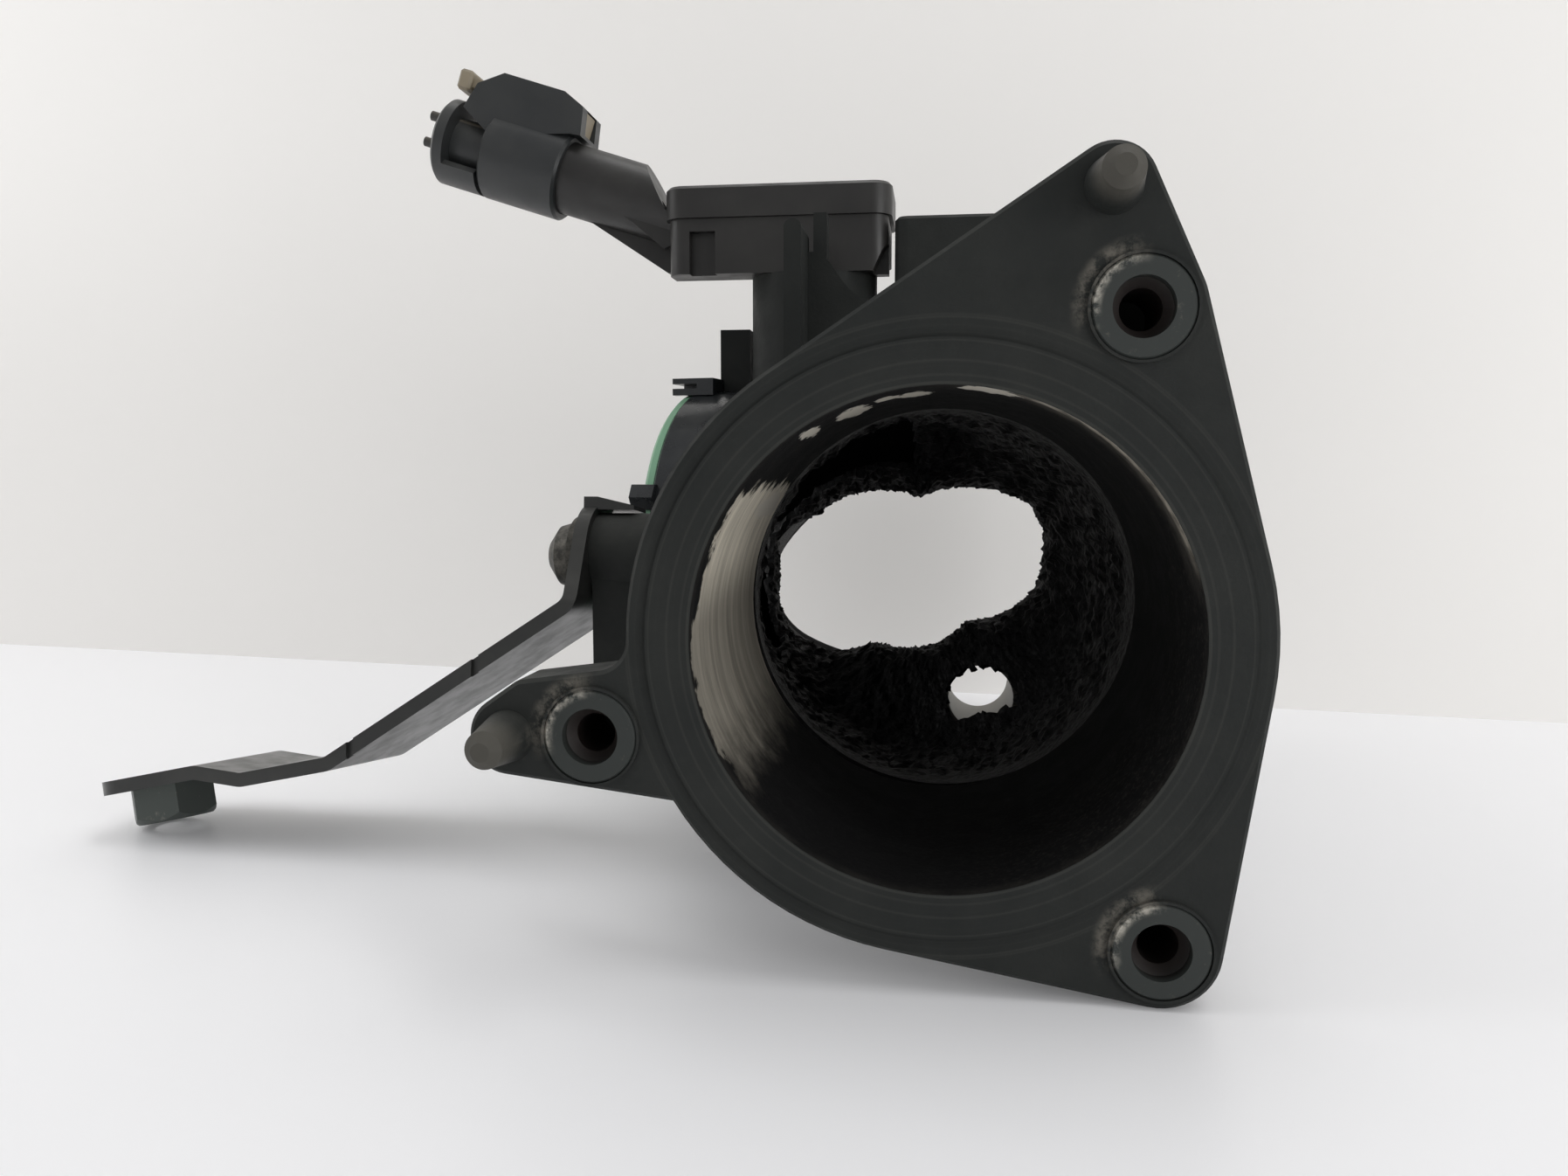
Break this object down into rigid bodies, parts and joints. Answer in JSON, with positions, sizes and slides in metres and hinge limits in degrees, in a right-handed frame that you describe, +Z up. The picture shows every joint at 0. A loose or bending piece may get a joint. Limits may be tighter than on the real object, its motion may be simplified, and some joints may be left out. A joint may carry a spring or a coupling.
{
  "type": "intake manifold inlet pipe",
  "caption": "Moulded intake inlet pipe with a bolted throttle flange, branch port, oval rear outlet, roof sensor with cut-off plug, and a pressed support bracket.",
  "frame": {"origin": "centre of the bore on the throttle flange's front face", "axes": "-Y out of the throttle bore, +Y back along the pipe, +X right seen from the front, +Z up as it rests"},
  "size_m": [0.1872, 0.1658, 0.1451],
  "materials": {
    "body_plastic": "moulded, dusty, matte",
    "soot": "rough flaky soot crust",
    "gloss_black": "glossy blue-black",
    "green_rubber": "soft light green",
    "steel": "dull, dirty",
    "insert_steel": "dark, worn rim",
    "sensor_plastic": "moulded satin",
    "tinned": "tinned",
    "black_rubber": "matte",
    "screw_steel": "dull grey-brown",
    "brass": "plain",
    "plug_plastic": "blue-grey satin",
    "lock_plastic": "aged beige",
    "black_paint": "black paint, satin",
    "nut_steel": "dark green-grey",
    "wire": "dark brown-grey"
  },
  "bodies": {
    "body": {"pipe_body": "body_plastic", "soot_crust": "soot", "port_collar": "gloss_black", "port_seal": "green_rubber", "egr_bush": "steel", "sensor_housing": "sensor_plastic", "sensor_cover": "sensor_plastic", "sensor_terminals": "tinned", "sensor_o_ring": "black_rubber", "sensor_tip": "steel", "sensor_screw": "screw_steel", "sensor_post_insert": "brass", "plug_housing": "plug_plastic", "plug_rear_cap": "plug_plastic", "plug_seal": "black_rubber", "bracket": "black_paint", "weld_nut": "nut_steel", "bracket_screw": "screw_steel", "boss_insert": "brass", "flange_insert_upper": "insert_steel", "flange_insert_lower": "insert_steel", "flange_insert_ear": "insert_steel", "outlet_sleeve_1": "steel", "outlet_sleeve_2": "steel", "outlet_sleeve_3": "steel", "outlet_sleeve_4": "steel", "wire_stub_1": "wire", "wire_stub_2": "wire", "wire_stub_3": "wire", "wire_stub_4": "wire"},
    "lock": {"plug_lock": "lock_plastic"}
  },
  "joints": [
    {"name": "lock_slide", "type": "slide", "parent": "body", "child": "lock", "axis": [0.9511, 0, -0.309], "range_m": [0, 0.004]}
  ]
}
